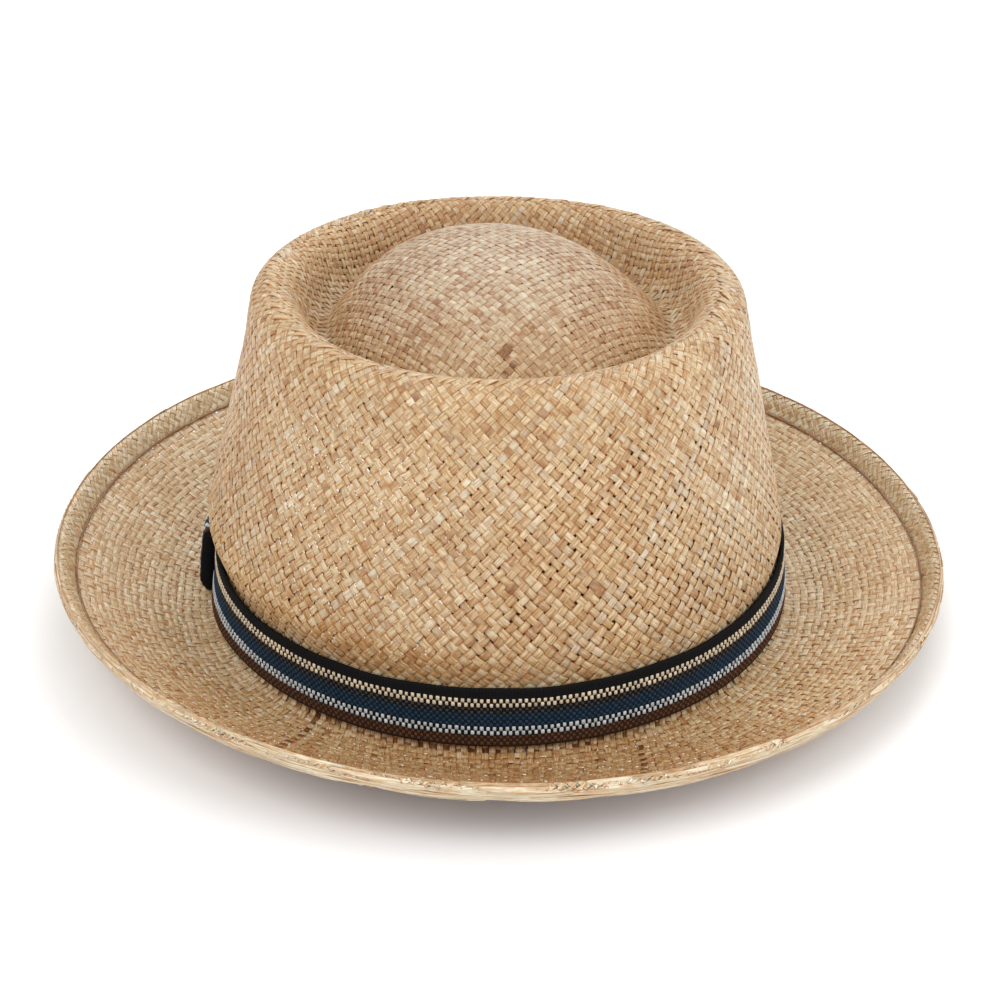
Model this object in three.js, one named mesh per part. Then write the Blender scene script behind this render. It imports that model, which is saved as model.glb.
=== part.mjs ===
// A woven straw hat with a telescope crown: a rolled ridge around a sunk channel and a raised dome,
// a turned-up brim with a folded hem, a striped ribbon band and the ribbon keeper that covers its join.
// Lengths are millimetres. +Z is up, -Y is the side that faces the viewer, and -X is the keeper's side.
// The origin is the middle of the brim on the surface that the hat rests on.
import * as THREE from 'three';

// The straw shell
const crownHalfX = 90.3;        // crown's outer half width where it meets the brim
const crownHalfY = 99.5;        // crown's outer half length there
const strawWall = 1.8;
const breakRadius = 1.5;        // small round between brim and crown
const restWidth = 6.0;          // flat ring of the brim that the hat stands on

// The brim
const brimWidth = 50.8;         // from the crown to the outside of the hem
const hemWidth = 6.2;           // turned-up fold along the edge
const hemAngle = 58;            // degrees above level
const hemWall = 2.6;            // two layers of straw
const hemHeight = 20;           // top of the hem over the brim's flat ring, varied by the sides below
const brimSweep = 1.4;          // how late the brim's rise sets in

// The crown
const ridgeHeight = 105;        // top of the ridge over the brim, varied by the sides below
const ridgeRadius = 7.9;
const ridgeInset = 21.9;        // from the crown's foot in to the middle of the ridge
const channelReach = 15.0;      // from the middle of the ridge in to the middle of the channel
const channelDepth = 15.5;
const domeHeight = 116.1;       // top of the dome over the brim
const crownShift = -1.7;        // over the band the crown swells a little to the left
const crownShiftRise = 11.0;    // height over the band at which that is most
const domeShift = -4.0;         // the dome's top lies a little to the left too

// The ribbon
const bandHeight = 18.3;
const bandThickness = 1.2;
const keeperWidth = 14.0;
const keeperThickness = 0.9;     // one layer, where it is folded under and over the band
const keeperBulge = 3.6;         // how much its folded layers add in front of the band
const keeperRise = 0.8;          // how much they add over the band's top edge
const clearance = 0.3;
const bandLift = keeperThickness + 2 * clearance; // bottom edge over the brim, room for the keeper's fold

// How finely the shapes are faceted
const anglesRound = 60;
const keeperSteps = 6;

// Heights over the brim's flat ring in eight directions, anticlockwise from the right: the top of
// the hem as a share of hemHeight, and the top of the rolled ridge as a share of ridgeHeight.
const sides = [
  { side: 'right', hem: 0.775, ridge: 0.991 },
  { side: 'back right', hem: 0.86, ridge: 0.980 },
  { side: 'back', hem: 0.88, ridge: 0.974 },
  { side: 'back left', hem: 1.10, ridge: 0.993 },
  { side: 'left', hem: 1.165, ridge: 1.016 },
  { side: 'front left', hem: 1.22, ridge: 1.015 },
  { side: 'front', hem: 1.06, ridge: 1.013 },
  { side: 'front right', hem: 0.91, ridge: 1.002 },
];

// Crown side from its foot to the ridge's shoulder: height as a share of the shoulder's height,
// inset as a share of the shoulder's inset. The ribbon pulls it in, and it swells out above.
const crownSide = [
  { height: 0.105, inset: 0.05 },
  { height: 0.205, inset: 0.098 },
  { height: 0.240, inset: 0.020 },
  { height: 0.296, inset: -0.030 },
  { height: 0.371, inset: 0.050 },
  { height: 0.470, inset: 0.190 },
  { height: 0.558, inset: 0.329 },
  { height: 0.665, inset: 0.500 },
  { height: 0.772, inset: 0.668 },
  { height: 0.900, inset: 0.875 },
];

// Ridge from its shoulder over the top: degrees above level, seen from the middle of the roll.
const ridgeTurn = [0, 28, 58, 88, 116, 140];

// Ridge's inner wall down to the channel: reach as a share of channelReach from the middle of the
// ridge, drop as a share of channelDepth from its top.
const channelSide = [
  { reach: 0.58, drop: 0.48 },
  { reach: 0.76, drop: 0.83 },
  { reach: 1.00, drop: 1.00 },
];

// Dome from the channel to its top: spread as a share of the channel's oval, lift as a share of
// the height between channel and dome top.
const domeSection = [
  { spread: 0.945, lift: 0.085 },
  { spread: 0.880, lift: 0.250 },
  { spread: 0.790, lift: 0.435 },
  { spread: 0.650, lift: 0.665 },
  { spread: 0.470, lift: 0.855 },
  { spread: 0.280, lift: 0.960 },
  { spread: 0.120, lift: 0.993 },
];

// Keeper's face from the foot to the head of the band: level as a share of the band's height,
// swell as a share of keeperBulge.
const keeperFace = [
  { level: 0.00, swell: 0.60 },
  { level: 0.14, swell: 0.95 },
  { level: 0.36, swell: 1.00 },
  { level: 0.68, swell: 0.90 },
  { level: 1.00, swell: 0.38 },
];

// Brim from the flat ring out to the hem's foot, as shares of that reach.
const brimReach = [0.22, 0.44, 0.64, 0.82];

const breakTurn = [0, 45, 90];  // degrees around the small round at the crown's foot

const radians = THREE.MathUtils.degToRad;

// A share from the table of sides, on a smooth closed curve through its rows.
function shareAround(angle, column) {
  const place = THREE.MathUtils.euclideanModulo(angle / (2 * Math.PI), 1) * sides.length;
  const row = Math.floor(place);
  const [before, low, high, after] = [-1, 0, 1, 2].map((step) => (
    sides[(row + step + sides.length) % sides.length][column]));
  const t = place - row;
  const rise = (high - before) / 2;
  const fall = (after - low) / 2;
  const bend = high - low;
  return low + rise * t + (3 * bend - 2 * rise - fall) * t ** 2 + (rise + fall - 2 * bend) * t ** 3;
}

function ridgeTop(angle) {
  return ridgeHeight * shareAround(angle, 'ridge');
}

function hemTop(angle) {
  return hemHeight * shareAround(angle, 'hem');
}

// Sideways shift of the crown at a height over the brim.
function shiftAt(height) {
  const bandTop = bandLift + bandHeight;
  const most = bandTop + crownShiftRise;
  const swelling = THREE.MathUtils.smoothstep(height, bandTop, most);
  const fading = 1 - THREE.MathUtils.smoothstep(height, most, domeHeight - channelDepth - ridgeRadius);
  return crownShift * swelling * fading;
}

// A point of the shell's upper face: out from the crown's foot, and up from the brim's flat ring.
function ovalPoint(angle, out, height) {
  return new THREE.Vector3(
    (crownHalfX + out) * Math.cos(angle) + shiftAt(height),
    (crownHalfY + out) * Math.sin(angle),
    strawWall + height,
  );
}

// The upper face's stations at one angle, from the brim's edge to the last ring of the dome.
function upperStations(angle) {
  const stations = [];
  const add = (out, height, wall = strawWall, flat = false) => {
    stations.push({ point: ovalPoint(angle, out, height), wall, flat });
  };

  // Hem, from its top edge down to its foot
  const slope = radians(hemAngle);
  const edgeOut = brimWidth - hemWall * Math.sin(slope);
  const footOut = edgeOut - hemWidth * Math.cos(slope);
  const footHeight = hemTop(angle) - hemWidth * Math.sin(slope);
  add(edgeOut, hemTop(angle), hemWall);
  add(footOut, footHeight, hemWall);

  // Brim, in to the flat ring
  const ringOut = breakRadius + restWidth;
  for (const share of [...brimReach].reverse()) {
    add(ringOut + (footOut - ringOut) * share, footHeight * share ** brimSweep);
  }
  add(ringOut, 0, strawWall, true);
  for (const turn of breakTurn) {
    const around = radians(turn);
    const out = breakRadius * (1 - Math.sin(around));
    add(out, breakRadius * (1 - Math.cos(around)), strawWall, turn === 0);
  }

  // Crown side and ridge
  const shoulderHeight = ridgeTop(angle) - ridgeRadius;
  const shoulderInset = ridgeInset - ridgeRadius;
  for (const row of crownSide) add(-row.inset * shoulderInset, row.height * shoulderHeight);
  for (const turn of ridgeTurn) {
    const around = radians(turn);
    add(-ridgeInset + ridgeRadius * Math.cos(around), shoulderHeight + ridgeRadius * Math.sin(around));
  }

  // Channel
  for (const row of channelSide) {
    add(-ridgeInset - row.reach * channelReach, ridgeTop(angle) - row.drop * channelDepth);
  }

  // Dome
  const channelHeight = ridgeTop(angle) - channelDepth;
  const channelOut = -ridgeInset - channelReach;
  for (const row of domeSection) {
    const height = channelHeight + row.lift * (domeHeight - channelHeight);
    const point = ovalPoint(angle, channelOut, height);
    point.x = (point.x - shiftAt(height)) * row.spread + shiftAt(height) + domeShift * row.lift;
    point.y *= row.spread;
    stations.push({ point, wall: strawWall, flat: false });
  }
  return stations;
}

function angleAt(index) {
  return (index / anglesRound) * 2 * Math.PI;
}

function meshFromGrid(positions, triangles) {
  const geometry = new THREE.BufferGeometry();
  geometry.setAttribute('position', new THREE.Float32BufferAttribute(positions.flatMap((p) => p.toArray()), 3));
  geometry.setIndex(triangles);
  geometry.computeVertexNormals();
  return geometry;
}

// One woven shell: brim, crown and dome, with its lower face a wall's thickness under the upper.
function strawShell() {
  const upper = Array.from({ length: anglesRound }, (_, i) => upperStations(angleAt(i)));
  const rings = upper[0].length;
  const topHeight = strawWall + domeHeight;
  const apex = new THREE.Vector3(shiftAt(domeHeight) + domeShift, 0, topHeight);

  const lower = upper.map((stations, i) => stations.map((station, j) => {
    const { point, wall, flat } = station;
    if (flat) return point.clone().setZ(0);
    const before = upper[(i + anglesRound - 1) % anglesRound][j].point;
    const after = upper[(i + 1) % anglesRound][j].point;
    const outer = stations[Math.max(j - 1, 0)].point;
    const inner = j + 1 < rings ? stations[j + 1].point : apex;
    const round = after.clone().sub(before);
    const inward = inner.clone().sub(outer);
    const normal = round.cross(inward).normalize();
    return point.clone().addScaledVector(normal, -wall);
  }));

  const positions = [...upper.flat().map((station) => station.point), ...lower.flat()];
  const upperAt = (i, j) => (i % anglesRound) * rings + j;
  const lowerAt = (i, j) => upperAt(i, j) + anglesRound * rings;
  const upperApex = positions.push(apex) - 1;
  const lowerApex = positions.push(apex.clone().setZ(topHeight - strawWall)) - 1;

  const triangles = [];
  const quad = (a, b, c, d) => triangles.push(a, b, c, a, c, d);
  for (let i = 0; i < anglesRound; i++) {
    for (let j = 0; j + 1 < rings; j++) {
      quad(upperAt(i, j), upperAt(i + 1, j), upperAt(i + 1, j + 1), upperAt(i, j + 1));
      quad(lowerAt(i, j), lowerAt(i, j + 1), lowerAt(i + 1, j + 1), lowerAt(i + 1, j));
    }
    quad(upperAt(i, 0), lowerAt(i, 0), lowerAt(i + 1, 0), upperAt(i + 1, 0));
    triangles.push(upperAt(i, rings - 1), upperAt(i + 1, rings - 1), upperApex);
    triangles.push(lowerAt(i + 1, rings - 1), lowerAt(i, rings - 1), lowerApex);
  }
  return meshFromGrid(positions, triangles);
}

// How far out the crown's side stands at a height over the brim, behind the ribbon.
function crownOut(angle, height) {
  if (height < breakRadius) return breakRadius - Math.sqrt(breakRadius ** 2 - (breakRadius - height) ** 2);
  const shoulderHeight = ridgeTop(angle) - ridgeRadius;
  const rows = [{ height: breakRadius / shoulderHeight, inset: 0 }, ...crownSide];
  const share = height / shoulderHeight;
  const next = rows.findIndex((row) => row.height >= share);
  if (next <= 0) return 0;
  const low = rows[next - 1];
  const high = rows[next];
  const inset = THREE.MathUtils.mapLinear(share, low.height, high.height, low.inset, high.inset);
  return -inset * (ridgeInset - ridgeRadius);
}

// Ribbon around the crown's foot. Its section is wrapped around the oval and closes on itself.
function ribbonBand() {
  const bandTop = bandLift + bandHeight;
  const levels = [bandLift, THREE.MathUtils.lerp(bandLift, bandTop, 0.5), bandTop];
  const positions = [];
  for (let i = 0; i < anglesRound; i++) {
    const angle = angleAt(i);
    const inner = levels.map((height) => ({ out: crownOut(angle, height) + clearance, height }));
    const outer = inner.map(({ out, height }) => ({ out: out + bandThickness, height })).reverse();
    for (const { out, height } of [...inner, ...outer]) positions.push(ovalPoint(angle, out, height));
  }
  const corners = levels.length * 2;
  const at = (i, j) => (i % anglesRound) * corners + (j % corners);
  const triangles = [];
  for (let i = 0; i < anglesRound; i++) {
    for (let j = 0; j < corners; j++) {
      triangles.push(at(i, j), at(i, j + 1), at(i + 1, j + 1), at(i, j), at(i + 1, j + 1), at(i + 1, j));
    }
  }
  return meshFromGrid(positions, triangles);
}

// Short ribbon folded several times over the band, turned in to the crown above and below it.
function ribbonKeeper() {
  const halfTurn = Math.asin(keeperWidth / 2 / crownHalfY);
  const foot = bandLift - clearance;
  const head = bandLift + bandHeight + clearance;
  const outerFoot = foot - keeperThickness;
  const outerHead = head + keeperThickness + keeperRise;
  const section = (angle) => {
    const bandFront = (level) => (
      crownOut(angle, bandLift + level * bandHeight) + clearance + bandThickness + clearance);
    const tuck = (height) => ({ out: crownOut(angle, height) + clearance, height });
    const outside = keeperFace.map(({ level, swell }) => ({
      out: bandFront(level) + swell * keeperBulge + keeperThickness,
      height: THREE.MathUtils.lerp(outerFoot, outerHead, level),
    }));
    const inside = keeperFace.map(({ level }) => ({
      out: bandFront(level),
      height: THREE.MathUtils.lerp(foot, head, level),
    })).reverse();
    return [tuck(outerFoot), ...outside, tuck(outerHead), tuck(head), ...inside, tuck(foot)];
  };

  const positions = [];
  const outlines = [];
  for (let i = 0; i <= keeperSteps; i++) {
    const angle = Math.PI + halfTurn * ((2 * i) / keeperSteps - 1);
    const outline = section(angle);
    outlines.push(outline.map(({ out, height }) => new THREE.Vector2(out, height)));
    for (const { out, height } of outline) positions.push(ovalPoint(angle, out, height));
  }
  const corners = outlines[0].length;
  const triangles = [];
  for (let i = 0; i < keeperSteps; i++) {
    for (let j = 0; j < corners; j++) {
      const next = (j + 1) % corners;
      const a = i * corners + j;
      const b = i * corners + next;
      triangles.push(a, b + corners, b, a, a + corners, b + corners);
    }
  }
  const last = keeperSteps * corners;
  for (const [a, b, c] of THREE.ShapeUtils.triangulateShape(outlines[0], [])) triangles.push(a, b, c);
  for (const [a, b, c] of THREE.ShapeUtils.triangulateShape(outlines[keeperSteps], [])) {
    triangles.push(last + a, last + c, last + b);
  }
  return meshFromGrid(positions, triangles);
}

const straw = new THREE.MeshStandardMaterial({ color: 0xc79a62, roughness: 0.72, metalness: 0 });
const ribbon = new THREE.MeshStandardMaterial({ color: 0x1c2740, roughness: 0.85, metalness: 0 });
const ribbonFold = new THREE.MeshStandardMaterial({ color: 0x22293a, roughness: 0.85, metalness: 0 });

const hat = new THREE.Group();

function addPiece(name, geometry, material) {
  const piece = new THREE.Mesh(geometry, material);
  piece.name = name;
  hat.add(piece);
}

addPiece('straw_body', strawShell(), straw);
addPiece('ribbon_band', ribbonBand(), ribbon);
addPiece('ribbon_keeper', ribbonKeeper(), ribbonFold);

export default hat;
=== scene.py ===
import math

import bpy
import numpy as np
from mathutils import Matrix, Vector


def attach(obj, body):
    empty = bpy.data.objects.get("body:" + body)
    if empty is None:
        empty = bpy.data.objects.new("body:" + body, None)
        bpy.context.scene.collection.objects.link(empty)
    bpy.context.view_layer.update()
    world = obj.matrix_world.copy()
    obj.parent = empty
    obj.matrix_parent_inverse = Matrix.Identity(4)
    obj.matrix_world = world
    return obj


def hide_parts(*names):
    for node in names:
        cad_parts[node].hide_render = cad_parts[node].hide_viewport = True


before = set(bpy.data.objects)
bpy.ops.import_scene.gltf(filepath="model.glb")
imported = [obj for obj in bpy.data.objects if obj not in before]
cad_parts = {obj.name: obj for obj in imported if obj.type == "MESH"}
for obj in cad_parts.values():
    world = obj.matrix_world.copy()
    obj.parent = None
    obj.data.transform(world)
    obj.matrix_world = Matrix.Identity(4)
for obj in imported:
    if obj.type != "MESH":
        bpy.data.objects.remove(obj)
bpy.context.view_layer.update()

scene = bpy.context.scene
bpy.ops.object.select_all(action="DESELECT")

# Shape of the straw body: one woven hood, wetted and pressed over a block, so brim, crown, ridge,
# channel and dome are one sheet. Its surface is worked out here in millimetres, as in the CAD, as a
# table over the angle round the hat and the way s from the brim's edge in to the top of the dome.
TAU = 2 * math.pi
MM = 0.001
HALF_X = 90.3
HALF_Y = 99.5
WALL = 1.8
BREAK_RADIUS = 1.5
REST_WIDTH = 6.0
BRIM_WIDTH = 50.8
HEM_WIDTH = 6.2
HEM_ANGLE = math.radians(58)
HEM_WALL = 2.6
HEM_HEIGHT = 20.0
BRIM_SWEEP = 1.4
RIDGE_HEIGHT = 105.0
RIDGE_RADIUS = 7.9
RIDGE_INSET = 21.9
CHANNEL_REACH = 15.0
CHANNEL_DEPTH = 15.5
DOME_HEIGHT = 116.1
CROWN_SHIFT = -1.7
CROWN_SHIFT_RISE = 11.0
DOME_SHIFT = -4.0
BAND_HEIGHT = 18.3
BAND_LIFT = 1.5
BAND_TOP = BAND_LIFT + BAND_HEIGHT
# Hem height and ridge height, each a share, anticlockwise from the right
SIDES = np.array([
    (0.775, 0.991), (0.86, 0.980), (0.88, 0.974), (1.10, 0.993),
    (1.165, 1.016), (1.22, 1.015), (1.06, 1.013), (0.91, 1.002),
])
# Crown's side: height and inset, as shares of the shoulder's
CROWN_SIDE = [
    (0.105, 0.05), (0.205, 0.098), (0.240, 0.020), (0.296, -0.030), (0.371, 0.050),
    (0.470, 0.190), (0.558, 0.329), (0.665, 0.500), (0.772, 0.668), (0.900, 0.875),
]
CHANNEL_SIDE = [(0.58, 0.48), (0.76, 0.83), (1.00, 1.00)]
DOME_SECTION = [
    (0.945, 0.085), (0.88, 0.25), (0.79, 0.435), (0.65, 0.665), (0.47, 0.855), (0.28, 0.96), (0.12, 0.993),
]
# Rows of the section: shares of the brim's way out, turns of its break, turns of the ridge's roll
BRIM_SHARES = (0.82, 0.64, 0.44, 0.22)
BREAK_TURNS = (0, 45, 90)
RIDGE_TURNS = (0, 28, 58, 88, 116, 140)
CREST_TURN = 88
ANGLES = 720
S_STEP = 0.25


def smoothstep(x, low, high):
    t = np.clip((np.asarray(x, float) - low) / (high - low), 0, 1)
    return t * t * (3 - 2 * t)


def hump(x, width):
    """1 where x is 0, fading smoothly on both sides."""
    return np.exp(-((x / width) ** 2))


def share_around(angle, column):
    """A column of SIDES at any angle, on a smooth curve through its eight places."""
    place = np.mod(angle / TAU, 1) * len(SIDES)
    row = np.floor(place).astype(int)
    before, low, high, after = (SIDES[(row + k) % len(SIDES), column] for k in (-1, 0, 1, 2))
    t = place - row
    rise, fall, bend = (high - before) / 2, (after - low) / 2, high - low
    return low + rise * t + (3 * bend - 2 * rise - fall) * t**2 + (rise + fall - 2 * bend) * t**3


def hem_top(angle):
    return HEM_HEIGHT * share_around(angle, 0)


def ridge_top(angle):
    return RIDGE_HEIGHT * share_around(angle, 1)


def shift_at(height):
    """How far the crown leans to the left at a height. Under the ridge it is straight again."""
    most = BAND_TOP + CROWN_SHIFT_RISE
    fading = 1 - smoothstep(height, most, DOME_HEIGHT - CHANNEL_DEPTH - RIDGE_RADIUS)
    return CROWN_SHIFT * smoothstep(height, BAND_TOP, most) * fading


def oval(angle, out, height):
    """Points so far out from the crown's foot, at a height over the brim's flat ring."""
    height = np.broadcast_to(height, angle.shape)
    x = (HALF_X + out) * np.cos(angle) + shift_at(height)
    y = (HALF_Y + out) * np.sin(angle)
    return np.stack([x, y, WALL + height], -1)


def section_points(angle):
    """The rows that the surface runs through, from the brim's edge in to the top of the dome."""
    points = []
    edge = BRIM_WIDTH - HEM_WALL * math.sin(HEM_ANGLE)
    foot = edge - HEM_WIDTH * math.cos(HEM_ANGLE)
    foot_height = hem_top(angle) - HEM_WIDTH * math.sin(HEM_ANGLE)
    points.append(oval(angle, edge, hem_top(angle)))
    points.append(oval(angle, foot, foot_height))
    ring = BREAK_RADIUS + REST_WIDTH
    for share in BRIM_SHARES:
        points.append(oval(angle, ring + (foot - ring) * share, foot_height * share**BRIM_SWEEP))
    points.append(oval(angle, ring, 0.0))
    for turn in np.radians(BREAK_TURNS):
        points.append(oval(angle, BREAK_RADIUS * (1 - math.sin(turn)), BREAK_RADIUS * (1 - math.cos(turn))))
    shoulder = ridge_top(angle) - RIDGE_RADIUS
    for height, inset in CROWN_SIDE:
        points.append(oval(angle, -inset * (RIDGE_INSET - RIDGE_RADIUS), height * shoulder))
    for turn in np.radians(RIDGE_TURNS):
        out = -RIDGE_INSET + RIDGE_RADIUS * math.cos(turn)
        points.append(oval(angle, out, shoulder + RIDGE_RADIUS * math.sin(turn)))
    for reach, drop in CHANNEL_SIDE:
        out = -RIDGE_INSET - reach * CHANNEL_REACH
        points.append(oval(angle, out, ridge_top(angle) - drop * CHANNEL_DEPTH))
    floor = ridge_top(angle) - CHANNEL_DEPTH
    for spread, lift in DOME_SECTION + [(0.0, 1.0)]:
        height = floor + lift * (DOME_HEIGHT - floor)
        point = oval(angle, -RIDGE_INSET - CHANNEL_REACH, height)
        shift = shift_at(height)
        point[:, 0] = (point[:, 0] - shift) * spread + shift + DOME_SHIFT * lift
        point[:, 1] *= spread
        points.append(point)
    return np.stack(points, 1)


def unit(v):
    return v / np.maximum(np.linalg.norm(v, axis=-1, keepdims=True), 1e-12)


def curve(low, high, leave, arrive, t):
    """A smooth curve from low to high that leaves and arrives along the given slopes."""
    return (
        low * (2 * t**3 - 3 * t**2 + 1) + high * (3 * t**2 - 2 * t**3)
        + leave * (t**3 - 2 * t**2 + t) + arrive * (t**3 - t**2)
    )


def surface_table():
    """The surface and its normals over angle and way, and the ways at which its main parts begin."""
    angle = np.linspace(0, TAU, ANGLES + 1)
    points = section_points(angle)
    step = np.linalg.norm(np.diff(points, axis=1), axis=2).mean(0)
    way = np.concatenate([[0], np.cumsum(step)])
    slope = np.diff(points, axis=1) / step[:, None]
    tangent = np.empty_like(points)
    tangent[:, 0], tangent[:, -1] = slope[:, 0], slope[:, -1] * (1, 1, 0)
    before, after = step[:-1, None], step[1:, None]
    tangent[:, 1:-1] = (slope[:, :-1] * after + slope[:, 1:] * before) / (before + after)
    s = np.arange(0, way[-1], S_STEP)
    k = np.clip(np.searchsorted(way, s, side="right") - 1, 0, len(step) - 1)
    t = ((s - way[k]) / step[k])[:, None]
    size = step[k][:, None]
    surface = curve(points[:, k], points[:, k + 1], tangent[:, k] * size, tangent[:, k + 1] * size, t)
    around = np.gradient(surface, axis=0)
    around[0] = around[-1] = (surface[1] - surface[-2]) / 2
    normal = unit(np.cross(around, np.gradient(surface, axis=1)))
    normal[:, -3:] = (0, 0, 1)
    foot = 2 + len(BRIM_SHARES)
    crown = foot + len(BREAK_TURNS)
    crest = crown + len(CROWN_SIDE) + 1 + RIDGE_TURNS.index(CREST_TURN)
    return surface, normal, {"foot": way[foot], "crown": way[crown], "crest": way[crest], "top": way[-1]}


SURFACE, NORMAL, AT = surface_table()


def look_up(table, angle, s):
    """A table's points at any angle and way s."""
    a = np.mod(angle, TAU) / TAU * ANGLES
    m = np.clip(s / S_STEP, 0, table.shape[1] - 1.001)
    i, j = np.floor(a).astype(int), np.floor(m).astype(int)
    fa, fm = (a - i)[..., None], (m - j)[..., None]
    low = table[i, j] * (1 - fm) + table[i, j + 1] * fm
    high = table[i + 1, j] * (1 - fm) + table[i + 1, j + 1] * fm
    return low * (1 - fa) + high * fa


def laid(angle, way, surface=SURFACE, normals=NORMAL):
    """Points on a surface, and its normals there."""
    return look_up(surface, angle, way), unit(look_up(normals, angle, way))


# Straw of the crown: flat strips of palm leaf about 3 mm wide in plain weave, over one and under one,
# running both ways at 45 degrees round the crown. Each strip is a closed body with an arched upper
# face, and its own width and tone. Both layings meet the dome's weave under the crest of the ridge.
CROWN_STRIPS = 148
CROWN_WIDTH = 0.96
# Where a strip is sampled on each crossing, as shares of the crossing's length
SAMPLES = np.array([-0.33, 0.33])
# Strip's section: place across as a share of the width, height over its middle in millimetres
SECTION = np.array([(-0.5, -0.12), (-0.38, 0.08), (0.38, 0.08), (0.5, -0.12)])
# The weave's middle under the surface, and the least height of any strip over the ground
MIDDLE = -0.45
LEAST_HEIGHT = 0.02
# Painted shade: how much darker a strip is painted where it dips under another
DIP_PAINTED_SHADE = 0.20
rng = np.random.default_rng(11)


def each(strips, spread, mean=0):
    """One random number for each strip."""
    return rng.normal(mean, spread, (strips, 1))


def wander(strips, samples, slow):
    """Smooth random numbers along each strip, about -1 to 1, that change over so many samples."""
    knots = rng.normal(0, 0.5, (strips, int(samples / slow) + 3))
    place = np.arange(samples) / slow
    k = np.floor(place).astype(int)
    t = smoothstep(place - k, 0, 1)
    return knots[:, k] * (1 - t) + knots[:, k + 1] * t


def mesh_object(name, verts, faces, uvs=None, points=None):
    """An object from vertices in millimetres and quads, with UVs for each corner and point values."""
    mesh = bpy.data.meshes.new(name)
    mesh.vertices.add(len(verts))
    mesh.vertices.foreach_set("co", (verts * MM).astype(np.float32).ravel())
    mesh.loops.add(faces.size)
    mesh.loops.foreach_set("vertex_index", faces.astype(np.int32).ravel())
    mesh.polygons.add(len(faces))
    mesh.polygons.foreach_set("loop_start", np.arange(0, faces.size, faces.shape[1], dtype=np.int32))
    mesh.polygons.foreach_set("use_smooth", np.ones(len(faces), bool))
    if uvs is not None:
        layer = mesh.uv_layers.new(name="UVMap")
        layer.data.foreach_set("uv", uvs.astype(np.float32).ravel())
    for key, values in (points or {}).items():
        kind = "FLOAT" if values.ndim == 1 else "FLOAT_COLOR"
        layer = mesh.attributes.new(key, kind, "POINT")
        layer.data.foreach_set("value" if values.ndim == 1 else "color", values.astype(np.float32).ravel())
    mesh.update(calc_edges=True)
    mesh.validate()
    piece = bpy.data.objects.new(name, mesh)
    scene.collection.objects.link(piece)
    return piece


def corner_uvs(u, u_next, v, v_next):
    """UVs of each quad's four corners."""
    pairs = ((u, v), (u, v_next), (u_next, v_next), (u_next, v))
    return np.stack([np.stack(pair, -1) for pair in pairs], -2)


def strip_mesh(name, centre, normal, width, looks, section=SECTION, closed=False):
    """Strips as one mesh, closed rings or with ends. centre and normal are [strip, sample, 3], width
    and each of the looks [strip, sample]. The UVs are millimetres along, from a place of its own for
    each strip, and the share across."""
    if closed:
        forward = unit(np.roll(centre, -1, 1) - np.roll(centre, 1, 1))
    else:
        forward = unit(np.gradient(centre, axis=1))
    side = unit(np.cross(normal, forward))
    up = np.cross(forward, side)
    across, height = section[:, 0], section[:, 1]
    verts = centre[:, :, None] + side[:, :, None] * (width[..., None] * across)[..., None]
    verts = verts + up[:, :, None] * height[:, None]
    verts[..., 2] = np.maximum(verts[..., 2], LEAST_HEIGHT)
    strips, samples, corners = verts.shape[:3]
    index = np.arange(strips * samples * corners).reshape(strips, samples, corners)
    here, there = (index, np.roll(index, -1, 1)) if closed else (index[:, :-1], index[:, 1:])
    faces = np.stack([here, np.roll(here, -1, 2), np.roll(there, -1, 2), there], -1)
    length = np.linalg.norm(np.diff(centre, axis=1, append=centre[:, :1]), axis=2)
    run = np.cumsum(length, axis=1) - length + rng.uniform(0, 3000, (strips, 1))
    u = np.broadcast_to(run[:, :, None], index.shape)
    u_next = np.broadcast_to((run + length)[:, :, None], index.shape)
    v = np.broadcast_to(across + 0.5, index.shape)
    uv = corner_uvs(u, u_next, v, np.roll(v, -1, 2))[:, :here.shape[1]]
    faces, uv = faces.reshape(-1, 4), uv.reshape(-1, 4, 2)
    if not closed:
        ends = np.concatenate([index[:, 0, ::-1], index[:, -1]])
        faces = np.concatenate([faces, ends])
        uv = np.concatenate([uv, np.full((len(ends), 4, 2), 0.5)])
    values = {key: np.repeat(look.ravel(), corners) for key, look in looks.items()}
    return mesh_object(name, verts.reshape(-1, 3), faces[:, ::-1], uv[:, ::-1], values)


# Share of the strips and of the crossings that are browner, and how much darker each is
BROWN_STRIPS = 0.03
BROWN_STRIP = 0.10
BROWN_CROSSINGS = 0.012
BROWN_CROSSING = 0.17


def tones(strips, cells, samples_per_cell):
    """Each strip's own tone, and a little for each crossing. Some strips and crossings are browner."""
    strip = each(strips, 0.045, 0.60)
    strip = strip - BROWN_STRIP * (rng.random((strips, 1)) < BROWN_STRIPS)
    cell = rng.normal(0, 0.05, (strips, cells))
    cell = cell - BROWN_CROSSING * (rng.random(cell.shape) < BROWN_CROSSINGS)
    slow = np.repeat(wander(strips, cells, 7), samples_per_cell, 1) * 0.06
    return strip + np.repeat(cell, samples_per_cell, 1) + slow


# Single strips stained brown for a little way: piece, x, y, length in millimetres, how much darker
STAINS = [
    ("dome_straw_left", 2.1, -48.4, 3.6, 0.36), ("dome_straw_right", 2.1, -48.4, 3.0, 0.36),
    ("dome_straw_left", 3.6, -53.5, 4.0, 0.36), ("dome_straw_right", 3.6, -53.5, 3.4, 0.36),
    ("dome_straw_left", 9.1, -40.5, 2.6, 0.12),
    ("brim_straw_out", -58.0, -96.6, 44.0, 0.50), ("brim_straw_out", 40.4, -113.7, 40.0, 0.50),
    ("brim_straw_out", -95.0, -62.0, 14.0, 0.20), ("brim_straw_round", -107.0, 24.0, 12.0, 0.18),
]


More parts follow.
